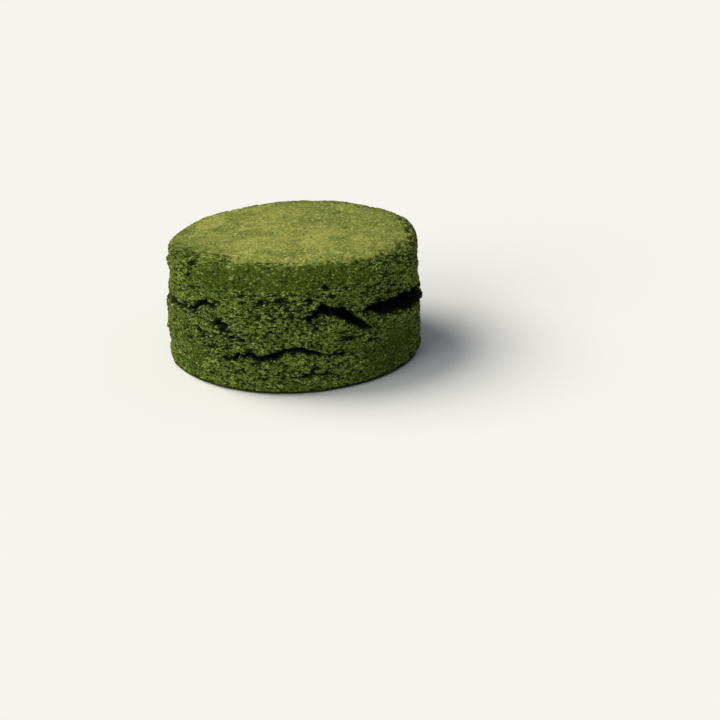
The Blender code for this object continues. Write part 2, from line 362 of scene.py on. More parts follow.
@dataclass(frozen=True)
class SconeForm:
    """The scone's shape down to its swells and layers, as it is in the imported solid."""

    base_radius: float = 29.6
    rim_radius: float = 28.9
    rim_height: float = 27.0
    crown: float = 0.6  # how much higher the middle of the top is than its rim
    taper_start: float = 8.0  # the height from which the side draws in
    lean: float = 1.0  # how far the top has slid towards +X
    lean_radius: float = 10.0  # the middle of the top, where the slide turns no angles
    rim_rounding: float = 1.4
    foot_rounding: float = 1.0
    shoulder: float = 8.5  # the radius of the sunken rim in front
    shoulder_angle: float = math.radians(15)
    shoulder_spread: float = math.radians(95)
    droop: float = 1.0  # how far the top has sunk behind the shoulder
    droop_start: float = 15.0
    waves: tuple[tuple[int, float, float], ...] = (
        (2, -0.002, 0.014), (3, -0.004, 0.004), (5, 0.003, -0.003),
    )  # how often round the outline, and how far by cosine and sine
    swell_size: float = 11.0
    swell_depth: float = 0.45
    layer_length: float = 5.0
    layer_height: float = 2.2
    layer_depth: float = 0.42
    rim_calm: float = 3.0  # below the rim, the layers and lips fade in over this height
    foot_calm: float = 2.5  # and above the foot all of the side's relief over this one
    side_parts: float = 5.0  # the side is the last of so many equal parts of the radius
    top_wave_size: float = 12.0
    top_wave_depth: float = 0.30
    top_wave_height: float = 4.0  # how far under the rim the waves of the top begin
    top_wave_shift: tuple[float, float, float] = (3.0, 1.0, 4.0)
    lip_height: float = 3.0  # how far below a crack its lip stands out
    lip_out: float = 0.55

    @property
    def flat_radius(self) -> float:
        """Where the top ends and the rim's rounding starts."""
        return self.rim_radius - self.rim_rounding

    @property
    def foot_radius(self) -> float:
        """Where the flat underside ends."""
        return self.base_radius - self.foot_rounding

    def top_height(self, radius: float) -> float:
        """How high the smooth top lies at a radius."""
        return self.rim_height + self.crown * (1 - (radius / self.flat_radius) ** 2)

    def rounding(
        self, radius: float, height: float, size: float, start: float, rows: int
    ) -> Profile:
        """A quarter round of the outline.

        Args:
            radius: where its centre lies.
            height: how high its centre lies.
            size: its radius.
            start: the slope it starts from, in radians over the horizontal.
            rows: into how many rows it is divided.

        Returns:
            Its points, downwards.
        """
        slopes = [start - math.pi / 2 * row / rows for row in range(rows + 1)]
        return [(radius + size * math.cos(s), height + size * math.sin(s)) for s in slopes]

    def side_profile(self, step: float) -> Profile:
        """The outline from the rim's rounding down to the foot's.

        Args:
            step: the rows' height.

        Returns:
            Its points as radius and height.
        """
        top = self.rim_height - self.rim_rounding
        rim_rows = round(self.rim_rounding * math.pi / 2 / step)
        points = self.rounding(self.flat_radius, top, self.rim_rounding, math.pi / 2, rim_rows)
        count = round((top - self.foot_rounding) / step)
        for row in range(1, count):
            height = top + (self.foot_rounding - top) * row / count
            drawn_in = smooth_step((height - self.taper_start) / (top - self.taper_start))
            points.append(
                (self.base_radius + (self.rim_radius - self.base_radius) * drawn_in, height)
            )
        foot_rows = round(self.foot_rounding * math.pi / 2 / step)
        return points + self.rounding(
            self.foot_radius, self.foot_rounding, self.foot_rounding, 0.0, foot_rows
        )

    def outline_scale(self, angle: float) -> float:
        """How much wider or narrower than a circle the scone is at an angle."""
        return 1 + sum(
            even * math.cos(count * angle) + odd * math.sin(count * angle)
            for count, even, odd in self.waves
        )

    def lip(self, angle: float, height: float) -> float:
        """The lip below a crack.

        Args:
            angle: in radians round the scone.
            height: how high the point lies.

        Returns:
            How far the side stands out there.
        """
        out = 0.0
        for each in CRACKS:
            found = each.line(angle)
            if found is None:
                continue
            below = found[0] - found[1] / 2 - height
            if 0 <= below < self.lip_height:
                fall = 1 - smooth_step(below / self.lip_height)
                out = max(out, self.lip_out * min(1.0, found[1]) * fall)
        return out

    def layers(self, angle: float, height: float) -> float:
        """Flat uneven layers, longer than they are high."""
        across, up = self.base_radius / self.layer_length, height / self.layer_height
        seat = Vector((across * math.cos(angle), across * math.sin(angle), up))
        return self.layer_depth * NOISE_GAIN * noise.noise(seat)

    def sunk_share(self, angle: float) -> float:
        """How far the rim sank at an angle, from 0 to 1."""
        away = abs((angle - self.shoulder_angle + math.pi) % math.tau - math.pi)
        return 1 - smooth_step(away / self.shoulder_spread)

    def sunk(self, angle: float, radius: float, height: float) -> tuple[float, float]:
        """Sinks the front of the rim.

        Args:
            angle: the point's angle in radians round the scone.
            radius: how far from the axis it lay.
            height: how high it lay.

        Returns:
            The radius and height that it has sunk to.
        """
        share = self.sunk_share(angle)
        out = radius - (self.rim_radius - self.shoulder)
        up = height - (self.rim_height - self.shoulder)
        if out > 0 and up > 0:
            kept = 1 + share * (min(1.0, self.shoulder / math.hypot(out, up)) - 1)
            radius = self.rim_radius - self.shoulder + out * kept
            height = self.rim_height - self.shoulder + up * kept
        droop = smooth_step((radius - self.droop_start) / (self.rim_radius - self.droop_start))
        return radius, height - self.droop * share * droop * smooth_step(up / self.shoulder)

    def placed(self, point: Vector) -> Vector:
        """Turns the smooth drum into the uneven scone.

        Args:
            point: a point of the drum, in mm.

        Returns:
            Where it lies on the scone, in mm.
        """
        lean = self.lean * smooth_step(point.z / self.rim_height)
        away = math.hypot(point.x, point.y)
        angle = math.atan2(point.x + lean * smooth_step(away / self.lean_radius), -point.y)
        radius, height = self.sunk(angle, away, point.z)
        swell = self.swell_depth * NOISE_GAIN * noise.noise(point / self.swell_size)
        under_rim = smooth_step((self.rim_height - point.z) / self.rim_calm)
        relief = swell + (self.layers(angle, height) + self.lip(angle, height)) * under_rim
        outer = smooth_step(radius / self.rim_radius * self.side_parts - (self.side_parts - 1))
        outer *= smooth_step(height / self.foot_calm)
        on_top = smooth_step(
            (point.z - self.rim_height + self.top_wave_height) / self.top_wave_height
        )
        seat = point / self.top_wave_size + Vector(self.top_wave_shift)
        wave = self.top_wave_depth * NOISE_GAIN * noise.noise(seat)
        radius = radius * self.outline_scale(angle) + outer * relief
        return on_side(angle, radius, height + on_top * wave) + Vector((lean, 0, 0))


# ---------------------------------------------------------------- crust and crumb


class Spot(NamedTuple):
    """A patch of the side that is rougher or smoother than the rest."""

    angle: float  # in degrees
    height: float
    half_width: float  # in degrees
    half_height: float
    rougher: float  # below 0 where it is smoother


class Void(Enum):
    """Kinds of open void in the crumb: length, height, rarity and steepness."""

    WIDE = (2.4, 0.60, 0.60, 2.6)
    SMALL = (1.00, 0.42, 0.45, 2.6)


class Reach(NamedTuple):
    """Where the crust ends at an angle round the scone, and over what width it fades out."""

    angle: float  # in degrees
    radius: float
    width: float


@dataclass(frozen=True)
class CrustEdge:
    """The line where the top crust gives way to crumb, crisp in front and soft elsewhere."""

    reaches: tuple[Reach, ...] = (
        Reach(-180, 27.6, 4.8), Reach(-125, 27.4, 5.0), Reach(-105, 26.6, 7.0),
        Reach(-92, 26.4, 8.0), Reach(-84, 24.8, 8.0), Reach(-76, 22.0, 8.0),
        Reach(-68, 19.8, 6.6), Reach(-60, 18.7, 5.6), Reach(-52, 18.3, 4.8),
        Reach(-44, 18.4, 4.4), Reach(-36, 18.4, 3.8), Reach(-28, 18.5, 3.0),
        Reach(-18, 19.0, 2.4), Reach(-3, 19.2, 2.3), Reach(25, 19.7, 2.3),
        Reach(36, 21.5, 2.8), Reach(50, 23.3, 3.6), Reach(65, 25.2, 4.2),
        Reach(85, 27.0, 4.6), Reach(110, 27.7, 4.8), Reach(180, 27.6, 4.8),
    )
    lowest: float = 18.0  # there is no crust below this height
    stray: float = 0.35  # how far the edge strays where it is 1 mm wide
    strays: tuple[tuple[float, float], ...] = ((2.6, 1.6), (1.1, 1.0))  # size and share
    soft_width: float = 6.0  # an edge as wide as this is soft
    crisp_width: float = 4.0  # and one as narrow as this crisp
    least_crisp: float = 0.3
    fleck_size: float = 0.75
    fleck_reach: float = 1.1
    fleck_round: float = 0.75  # a fleck's radius in its cell
    fleck_seat: tuple[float, float, float] = (1.5, 7.5, 2.5)
    flecks_outwards: float = 1.8  # how far the flecks go to each side of the edge
    flecks_inwards: float = 4.0
    fleck_patch: float = 3.4

    def at(self, degrees: float) -> Reach:
        """Where the crust ends.

        Args:
            degrees: the angle round the scone, from -180 to 180.

        Returns:
            The reach there, drawn between its neighbours in the list.
        """
        for left, right in zip(self.reaches, self.reaches[1:]):
            if degrees <= right.angle:
                share = smooth_step((degrees - left.angle) / (right.angle - left.angle))
                return Reach(*(a + (b - a) * share for a, b in zip(left, right)))
        return self.reaches[-1]

    def shares(self, place: Vector, degrees: float) -> tuple[float, float]:
        """How much of a place is crust, and how the crust's edge flakes there.

        Args:
            place: the point on the form.
            degrees: its angle round the scone.

        Returns:
            The share of crust, from 0 to 1, and the fleck, over 0 on a pale one that stands
            out and below 0 in a pit between them.
        """
        if place.z < self.lowest:
            return 0.0, 0.0
        reach = self.at(degrees)
        away = math.hypot(place.x, place.y) - reach.radius
        if abs(away) > 2 * reach.width + 2:  # too far off for any stray or fleck
            return float(away < 0), 0.0
        stray = self.stray * reach.width**0.5
        away += stray * sum(share * noise.noise(place / size) for size, share in self.strays)
        soft = (self.soft_width - reach.width) / (self.soft_width - self.crisp_width)
        crisp = at_least(self.least_crisp, smooth_step(soft))
        distances, points = noise.voronoi(place / self.fleck_size)
        luck = noise.cell(points[0] + Vector(self.fleck_seat))
        dome = max(0.0, 1 - (distances[0] / self.fleck_round) ** 2)
        limit = self.flecks_outwards if away > 0 else self.flecks_inwards
        near = crisp * smooth_step(1.3 - abs(away) / limit)
        # they come in patches, so that they don't line up as a row of stitches
        near *= smooth_step(0.6 + 1.6 * noise.noise(place / self.fleck_patch))
        away -= self.fleck_reach * crisp * luck
        return smooth_step(0.5 - away / reach.width), near * dome * luck


class TopPit(NamedTuple):
    """A shallow pit or slit in the top crust."""

    x: float
    y: float
    half_length: float
    half_width: float
    turn: float  # in radians from +X


class Relief(NamedTuple):
    """How the skin lies at a point."""

    out: float = 0.0  # outwards
    inwards: float = 0.0  # towards the axis
    crust: float = 0.0  # the share of crust over crumb
    hollow: float = 0.0  # how dark the point is painted as shade, in pores, cracks, pits, creases and at the foot
    tip: float = 0.0  # how far up on a grain, which gets a painted highlight; on the crust, how pale it is


@dataclass(frozen=True)
class TopCrust:
    """The low wrinkles, bumps and pits of the top crust."""

    pits: tuple[TopPit, ...] = (
        TopPit(9.4, 10.6, 1.0, 0.35, -0.6),
        TopPit(8.0, 17.7, 1.1, 0.35, -0.5),
        TopPit(-1.6, 13.8, 0.8, 0.4, 0.2),
        TopPit(13.5, 3.2, 0.9, 0.45, 0.9),
        TopPit(-9.1, 4.9, 2.4, 0.3, 0.1),
        TopPit(-14.9, -8.0, 0.8, 0.5, 0.3),
        TopPit(-7.0, -11.9, 0.7, 0.5, -0.2),
        TopPit(12.0, 16.0, 2.2, 0.3, 0.3),
        TopPit(2.0, -4.0, 1.4, 0.25, 0.5),
        TopPit(-17.0, 8.0, 1.5, 0.3, 1.2),
        TopPit(20.5, 6.0, 1.3, 0.35, 1.0),
        TopPit(4.0, 22.0, 1.6, 0.3, -0.2),
    )
    pit_range: float = 4.0  # no pit reaches further than this
    pit_depth: float = 0.3
    # painted shade in the pits
    painted_pit_shade: float = 0.8
    unevenness: tuple[float, float] = (0.8, 0.25)  # size and way of the bends in a pit's edge
    bumps: tuple[tuple[float, float], ...] = ((1.4, 1.0), (0.6, 0.6))  # size and share
    wrinkle_size: float = 3.5
    wrinkle_shift: float = 2.0
    wrinkle_width: float = 0.12  # the share of the pattern's swing that a wrinkle takes
    # painted shade in the wrinkles
    painted_wrinkle_shade: float = 0.25
    relief_out: float = 0.10
    # painted shade over the back right of the top, where the crust is made less pale
    back_shade_from: tuple[float, float, float] = (0.76, 0.65, 5.0)  # by x, by y and in mm
    back_shade_over: float = 28.0
    back_shade_strength: float = 0.75
    mottle_size: float = 6.0

    def pitted(self, place: Vector) -> float:
        """How far down in a pit a place is.

        Args:
            place: the point on the form.

        Returns:
            A share, where 0 is outside of every pit and 1 at the bottom of one.
        """
        deep = 0.0
        size, way = self.unevenness
        for pit in self.pits:
            ahead, aside = place.x - pit.x, place.y - pit.y
            if abs(ahead) > self.pit_range or abs(aside) > self.pit_range:
                continue
            along = ahead * math.cos(pit.turn) + aside * math.sin(pit.turn)
            across = aside * math.cos(pit.turn) - ahead * math.sin(pit.turn)
            across += way * noise.noise(place / size)
            reach = math.hypot(along / pit.half_length, across / pit.half_width)
            deep = max(deep, smooth_step(1.5 - reach))
        return deep

    def relief(self, place: Vector) -> Relief:
        """The crust's relief.

        Args:
            place: the point on the form.

        Returns:
            How the crust lies there. Its tip is high where it is pale, and low towards the back
            right, where the crust carries painted shade.
        """
        bumps = sum(share * noise.noise(place / size) for size, share in self.bumps)
        seat = stretched(place, self.wrinkle_size, self.wrinkle_size, self.wrinkle_shift)
        wrinkles = max(0.0, 1 - abs(noise.noise(seat)) / self.wrinkle_width)
        deep = self.pitted(place)
        out = self.relief_out * (bumps - 0.9 * wrinkles) - self.pit_depth * deep
        # painted shade towards the back right, which makes the crust less pale and greener
        by_x, by_y, start = self.back_shade_from
        painted_back_shade = smooth_step((by_x * place.x + by_y * place.y + start) / self.back_shade_over)
        pale = 0.5 + 0.5 * bumps + 0.4 * noise.noise(place / self.mottle_size)
        pale -= self.back_shade_strength * painted_back_shade
        # painted shade in the wrinkles and pits
        return Relief(
            out, 0.0, 1.0, max(self.painted_wrinkle_shade * wrinkles, self.painted_pit_shade * deep), pale
        )


@dataclass(frozen=True)
class Crumb:
    """The fine relief of the scone's skin, outwards from its form."""

    form: SconeForm = field(default_factory=SconeForm)
    pores: PoreTable = field(default_factory=PoreTable)
    spots: tuple[Spot, ...] = (
        Spot(-9, 25.4, 58, 2.3, -0.8),
        Spot(30, 24.8, 24, 2.4, -0.6),
        Spot(-62, 25.0, 8, 1.8, 0.4),
        Spot(-58, 6.0, 22, 6.0, -0.35),
        Spot(48, 7.0, 26, 6.5, -0.35),
        # the ledge under the arched crack, whose grains are painted paler as a highlight
        Spot(15, 16.0, 8, 1.5, 1.1),
        Spot(-34, 13.0, 17, 4.5, 0.45),
        Spot(-5, 18.5, 26, 2.4, 0.5),
    )
    edge: CrustEdge = field(default_factory=CrustEdge)
    crust: TopCrust = field(default_factory=TopCrust)
    # The finest grains and voids of real crumb are about 0.2 mm. The render has a quarter of a
    # millimetre to a pixel, so all of these are drawn two to three times as coarse, to show.
    grain_size: float = 0.60
    grain_out: float = 0.14
    grain_seed: int = 5
    grain_bends: tuple[float, float] = (0.3, 0.8)  # way and fineness of those in its outline
    grain_round: float = 0.8  # a grain's radius in its cell
    grain_seat: tuple[float, float, float] = (3.5, 1.5, 9.5)
    grit_size: float = 0.38
    grit_out: float = 0.08
    sheet_length: float = 4.0
    sheet_height: float = 0.9
    sheet_out: float = 0.10
    crease: tuple[float, float, float] = (4.6, 1.6, 3.0)  # length, height and shift
    crease_patch: tuple[float, float, float] = (5.0, 4.0, 8.0)
    crease_width: float = 0.07  # the share of the pattern's swing that a crease takes
    crease_depth: float = 0.4
    void_depth: float = 0.8
    void_branch: tuple[float, float, float] = (2.3, 2.1, 0.45)  # shorter, lower and share
    void_by_rough: float = 0.38  # how much more of them the roughest crumb has
    rough_mean: float = 0.55
    rough_swing: float = 0.45
    rough_patch: tuple[float, float, float] = (8.0, 5.0, 11.0)  # length, height and shift
    rough_by_crack: float = 0.35
    rough_out: float = 0.14
    foot_calm: float = 3.5  # the crumb is smoother below this height
    jags: tuple[tuple[float, float], ...] = ((1.7, 0.32), (0.8, 0.14))  # length and size
    lower_jag: float = 0.35  # a crack's lower edge has this share of its upper edge's jags
    edge_spread: float = 1.8  # how far from its edge a crack makes the crumb rougher
    black_depth: float = 4.0  # cracks as deep as this are painted black inside, as shade
    wall_run: float = 0.3  # over this height a crack's walls fall away
    ledge_run: float = 0.5  # and the lower one of a wide crack over this much more
    ledge_opening: float = 3.0
    lower_shade: float = 0.03  # how far the painted shade comes out over the lower edge
    upper_shade: float = 0.14  # and over the upper one
    upper_shade_wide: float = 0.12  # and how much more over that of a wide, deep crack
    shade_run: float = 0.2
    # painted shade in voids and creases, and in the top crust's pits
    painted_pit_shade: float = 0.7
    pit_full: float = 0.7  # a void as deep as this gets its fullest painted shade
    painted_foot_shadow: float = 0.8
    foot_band: float = 0.55  # painted contact shadow along the foot up to this height, fading over as much again
    foot_ring: float = 1.5  # and painted shade on the underside's outer ring, over this width
    moist: float = 0.7
    fleck_out: float = 0.15
    fleck_depth: float = 0.3
    # painted shade in the pits between flecks
    painted_fleck_shade: float = 1.6

    def lines_near(self) -> tuple[tuple[Crack, ...], ...]:
        """Sorts the cracks and pores by where they are.

        Returns:
            For each degree round the scone, those that reach it.
        """
        lines = CRACKS + self.pores.pores()
        return tuple(
            tuple(
                line for line in lines
                if any(line.line(math.radians(degree + part)) for part in (0, 0.25, 0.5, 0.75, 1))
            )
            for degree in range(360)
        )

    def roughness(self, angle: float, place: Vector, near: float) -> tuple[float, float]:
        """How open the crumb is.

        Args:
            angle: in radians round the scone.
            place: the point on the form.
            near: how near the edge of a crack is, from 0 to 1.

        Returns:
            A share, where 0 is smooth and 1 is full of voids, and how much the spots add to it.
        """
        patch = noise.noise(stretched(place, *self.rough_patch))
        rough = self.rough_mean + self.rough_swing * patch + self.rough_by_crack * near
        degrees, added = math.degrees(angle), 0.0
        for spot in self.spots:
            aside = (degrees - spot.angle) / spot.half_width
            above = (place.z - spot.height) / spot.half_height
            # full in the inner half of a spot, and gone at its edge
            added += spot.rougher * smooth_step(2.0 - 2.0 * math.hypot(aside, above))
        rough = min(1.0, max(0.0, rough + added))
        rough *= smooth_step(0.25 + place.z / self.foot_calm)
        return rough, added

    def voids(self, place: Vector, kind: Void, rough: float) -> float:
        """The voids of one kind.

        Args:
            place: the point on the form.
            kind: which kind.
            rough: the crumb's roughness there.

        Returns:
            How deep they go there, from 0 upwards.
        """
        length, height, rarity, steepness = kind.value
        shorter, lower, share = self.void_branch
        pattern = noise.noise(stretched(place, length, height, length))
        branch = stretched(place, length / shorter, height / lower, height)
        pattern += share * noise.noise(branch)
        depth = steepness * (pattern - rarity + self.void_by_rough * rough)
        return max(0.0, min(self.void_depth, depth))

    def crease_at(self, place: Vector) -> float:
        """The thin level creases between layers.

        Args:
            place: the point on the form.

        Returns:
            How deep they go there, from 0 upwards.
        """
        pattern = abs(noise.noise(stretched(place, *self.crease)))
        held = smooth_step(0.5 + 2.2 * noise.noise(stretched(place, *self.crease_patch)))
        return self.crease_depth * held * max(0.0, 1 - pattern / self.crease_width)

    def grains(self, place: Vector) -> float:
        """Rounded grains with creases between them.

        Args:
            place: the point on the form.

        Returns:
            A share, where 0 is in a crease and 1 on the tip of the proudest grain.
        """
        way, fineness = self.grain_bends
        seat = place / self.grain_size
        seat += way * noise.noise_vector(seat * fineness)
        distances, points = noise.voronoi(seat)
        proud = at_least(0.6, noise.cell(points[0] + Vector(self.grain_seat)))
        return proud * max(0.0, 1 - (distances[0] / self.grain_round) ** 2)

    def cracks(
        self, angle: float, height: float, lines: Sequence[Crack]
    ) -> tuple[float, float, float]:
        """How deep the cracks go, how near their edges are, and how much shade is painted in them.

        Args:
            angle: in radians round the scone.
            height: how high the point lies.
            lines: the cracks and pores that may reach the point.

        Returns:
            The depth, a nearness from 0 to 1, and the painted shade from 0 to 1.
        """
        deep, near, dark = 0.0, 0.0, 0.0
        for line in lines:
            mouth = line.mouth(angle)
            if mouth is None:
                continue
            lower, upper, fullness = mouth
            if not lower - self.edge_spread < height < upper + self.edge_spread:
                continue
            across = angle * line.radius
            jag = sum(
                size * noise.noise(Vector((across / length, height / length, line.depth)))
                for length, size in self.jags
            )
            open_share = min(1.0, upper - lower)
            jag *= open_share
            full = min(1.0, line.depth / self.black_depth)
            below = lower - height - self.lower_jag * jag
            above = height + jag - upper
            gap = max(below, above)  # how far out of the mouth the point is
            roughened = (1 - smooth_step(gap / self.edge_spread)) * at_least(0.3, fullness)
            near = max(near, roughened)
            if below > above:
                margin = self.lower_shade
                wide = min(1.0, (upper - lower) / self.ledge_opening)
                run = self.wall_run + self.ledge_run * wide
            else:
                margin = self.upper_shade + self.upper_shade_wide * full * open_share
                run = self.wall_run
            wall = smooth_step((-gap - 0.05) / run)
            deep = max(deep, wall * line.depth * at_least(0.25, fullness))
            # painted shade, black inside a deep crack where it is full
            black = at_least(0.75, full) * at_least(0.3, smooth_step(3 * fullness - 0.1))
            dark = max(dark, black * smooth_step((margin - gap) / self.shade_run))
        return deep, near, dark

    def relief(self, place: Vector, normal: Vector, lines: Sequence[Sequence[Crack]]) -> Relief:
        """The skin's fine relief.

        Args:
            place: the point on the form.
            normal: the form's normal there.
            lines: what lines_near gives.

        Returns:
            How the skin lies at the point.
        """
        if normal.z < -0.6 or place.z < 0.02:  # the flat underside
            # painted shade on the underside's outer ring
            out = math.hypot(place.x, place.y) - self.form.foot_radius + self.foot_ring
            return Relief(crust=0.5, hollow=self.painted_foot_shadow * smooth_step(out))
        angle = math.atan2(place.x, -place.y)
        crust, fleck = self.edge.shares(place, math.degrees(angle))
        parts = []
        if crust > 0.0:
            parts.append((crust, self.crust.relief(place)))
        if crust < 1.0:
            parts.append((1 - crust, self.crumb_relief(place, angle, lines)))
        found = Relief(*(sum(share * part[at] for share, part in parts) for at in range(5)))
        # painted shade in the pits between the crust's flecks
        if fleck < 0:
            hollow = max(found.hollow, min(1.0, -self.painted_fleck_shade * fleck))
            return found._replace(out=found.out + self.fleck_depth * fleck, hollow=hollow)
        return found._replace(out=found.out + self.fleck_out * fleck, tip=found.tip + fleck)

    def crumb_relief(
        self, place: Vector, angle: float, lines: Sequence[Sequence[Crack]]
    ) -> Relief:
        """The open crumb of the side, with its cracks.

        Args:
            place: the point on the form.
            angle: its angle round the scone, in radians.
            lines: what lines_near gives.

        Returns:
            How the crumb lies there.
        """
        deep, near, dark = self.cracks(
            angle, place.z, lines[math.floor(math.degrees(angle)) % 360]
        )
        rough, broken = self.roughness(angle, place, near)
        pit = max(
            self.voids(place, Void.SMALL, rough),
            1.2 * self.voids(place, Void.WIDE, rough) * smooth_step(rough * 2 - 0.4),
            self.crease_at(place) * at_least(0.4, rough),
        )
        grain = self.grains(place)
        loose = at_least(0.35, rough)
        sheets = noise.noise(stretched(place, self.sheet_length, self.sheet_height))
        out = self.sheet_out * sheets * NOISE_GAIN + self.grain_out * (grain - 0.45) * loose
        grit = self.grit_out * noise.noise(place / self.grit_size) * loose
        out += grit + self.rough_out * rough
        # painted contact shadow along the foot
        foot = self.painted_foot_shadow * smooth_step(2.0 - place.z / self.foot_band)
        # painted shade in voids, creases and cracks, and at the foot
        hollow = max(self.painted_pit_shade * min(1.0, pit / self.pit_full), dark, foot)
        # a tip is high on a dry, broken grain, which is paler and carries a painted highlight,
        # more so on the rougher spots, and low where the smooth crumb looks moist
        moist = self.moist * smooth_step(1 - 2 * rough)
        tip = grain * (0.5 + 0.6 * rough) + 0.45 * max(0.0, broken) - moist
        return Relief(out - pit, deep, 0.0, hollow, tip)


# ---------------------------------------------------------------- finishes


class Surface(NamedTuple):
    """What the dough's material reads off the skin."""

    seat: Socket  # the place on the object
    level: Socket  # the same with its heights stretched, so that a pattern on it lies flat
    crust: Socket  # the mesh's three attributes, which the skin's relief notes
    # the painted shade of pores, cracks, pits and the foot
    hollow: Socket
    tip: Socket
    dry: Socket  # 0 where the crumb is smooth and moist, and 1 where it is dry


class Coat(NamedTuple):
    """A colour laid over those below it, as a value of the surface rises or falls."""

    colour: str | Socket
    value: Socket
    none_at: float | None = None  # the value with none of the colour
    all_at: float | None = None  # and with all of it. Without them the value is the share


@dataclass(frozen=True)
class BakedDough:
    """Green tea scone dough, baked: a dry matt crust over a porous, mossy crumb.

    The crumb is a deep yellowish green, with painted shade that goes nearly black in its pores
    and cracks, and the crust is a paler olive with a dusty mottle. Nothing on it shines, though
    its dry grains carry a painted highlight.
    """

    name: str = "baked_green_tea_dough"
    crumb: str = "#708231"
    crumb_deep: str = "#546828"  # its darker patches, and painted shade in the crust's pits and wrinkles
    crumb_moist: str = "#425213"  # where it is smooth
    crumb_bright: str = "#abb86f"  # dry tips and strands, paler than the rest and with a painted highlight
    painted_gap_shade: str = "#1c2513"  # painted shade in the gaps between the strands and in shallow pores
    pit: str = "#222421"  # painted shade, nearly black, deep in pits and cracks
    crust: str = "#949a4e"
    crust_green: str = "#6b7b3a"  # where it is less browned, and painted shade over the top's back right
    crust_deep: str = "#4e5924"
    crust_pale: str = "#bdc074"  # dusty, where it stands proud
    roughness: float = 0.9
    specular: float = 0.05  # dry dough scatters the light and gives hardly any highlight
    patch: float = 5.0  # the size of the crumb's broad patches
    mottle: float = 5.0  # and of the crust's
    flatness: float = 1.8  # how much longer than high the crumb's patterns are
    # The strands and gaps of real crumb and the flecks of real crust are 0.1 to 0.3 mm, finer
    # than a pixel of the render, so all of these are drawn some three times as coarse, to show.
    grain: float = 0.52
    strand: float = 0.90
    strand_width: float = 0.035  # the share of the tangle's swing that a strand takes
    gap: float = 0.60
    slit_length: float = 2.2  # the long level gaps
    slit_height: float = 0.45
    deep_fleck: float = 0.8
    pale_fleck: float = 0.6
    grit: float = 0.25
    grit_depth: float = 0.15
    crumb_depth: float = 0.25  # how deep the bump of the gaps and of the grains goes
    crumb_carving: float = 0.6  # how strong it is on the crumb
    crust_carving: float = 0.15  # and on the crust

    def material(self) -> bpy.types.Material:
        """Builds the dough's material.

        Returns:
            A material that reads the mesh's crust and tip attributes, and the one with its painted
            shade.
        """
        made = bpy.data.materials.new(self.name)
        made.use_nodes = True
        tree = made.node_tree
        shader = tree.nodes["Principled BSDF"]
        shader.inputs["Roughness"].default_value = self.roughness
        shader.inputs["Specular IOR Level"].default_value = self.specular
        skin = self.surface(tree)
        cells = add_node(
            tree, "ShaderNodeTexVoronoi", [(skin.level, "Vector")], Scale=1 / (self.grain * MM)
        )
        gaps = self.gaps(tree, skin)
        crumb = self.crumb_colour(tree, skin, cells, gaps)
        crust = self.crust_colour(tree, skin)
        colour = self.painted(tree, crumb, [Coat(crust, skin.crust)])
        tree.links.new(colour, shader.inputs["Base Color"])
        tree.links.new(self.bumps(tree, skin, cells, gaps), shader.inputs["Normal"])
        return made

    def surface(self, tree: Tree) -> Surface:
        """Reads the skin.

        Args:
            tree: the material's tree.

        Returns:
            The sockets to read it from.
        """
        seat = add_node(tree, "ShaderNodeTexCoord").outputs["Object"]
        level = add_node(
            tree, "ShaderNodeMapping", [(seat, "Vector")], Scale=(1, 1, self.flatness)
        ).outputs["Vector"]
        crust, hollow, tip = (
            add_node(tree, "ShaderNodeAttribute", attribute_name=name).outputs["Fac"]
            for name in ("crust", "hollow", "tip")
        )
        return Surface(seat, level, crust, hollow, tip, self.share(tree, tip, -1.3, 0.0))

    def gaps(self, tree: Tree, skin: Surface) -> Socket:
        """The gaps of the dry crumb, round ones and long level slits, for its bump and painted
        shade.

        Args:
            tree: the material's tree.
            skin: what it reads off the skin.

        Returns:
            A share, 1 in a gap.
        """
        flat = add_node(
            tree, "ShaderNodeMapping", [(skin.seat, "Vector")],
            Scale=(1, 1, self.slit_length / self.slit_height),
        ).outputs["Vector"]
        holes = self.cloud(tree, skin.level, self.gap, 0.45, 0.34)
        slits = self.cloud(tree, flat, self.slit_length, 0.44, 0.33)
        either = add_node(
            tree, "ShaderNodeMath", [(holes, 0), (slits, 1)], operation="MAXIMUM"
        ).outputs[0]
        return add_node(
            tree, "ShaderNodeMath", [(either, 0), (skin.dry, 1)], operation="MULTIPLY"
        ).outputs[0]

    def crumb_colour(
        self, tree: Tree, skin: Surface, cells: bpy.types.Node, gaps: Socket
    ) -> Socket:
        """Colours the crumb, with bright dry grains and strands over darker patches.

        The bright ones carry a painted highlight, and the gaps, pores and cracks painted shade.

        Args:
            tree: the material's tree.
            skin: what it reads off the skin.
            cells: the node with the grains.
            gaps: the share of gap.

        Returns:
            The crumb's colour.
        """
        luck = add_node(tree, "ShaderNodeSeparateColor", [(cells.outputs["Color"], "Color")])
        tangle = add_node(
            tree, "ShaderNodeTexNoise", [(skin.level, "Vector")],
            Scale=1 / (self.strand * MM), Detail=2.0,
        )
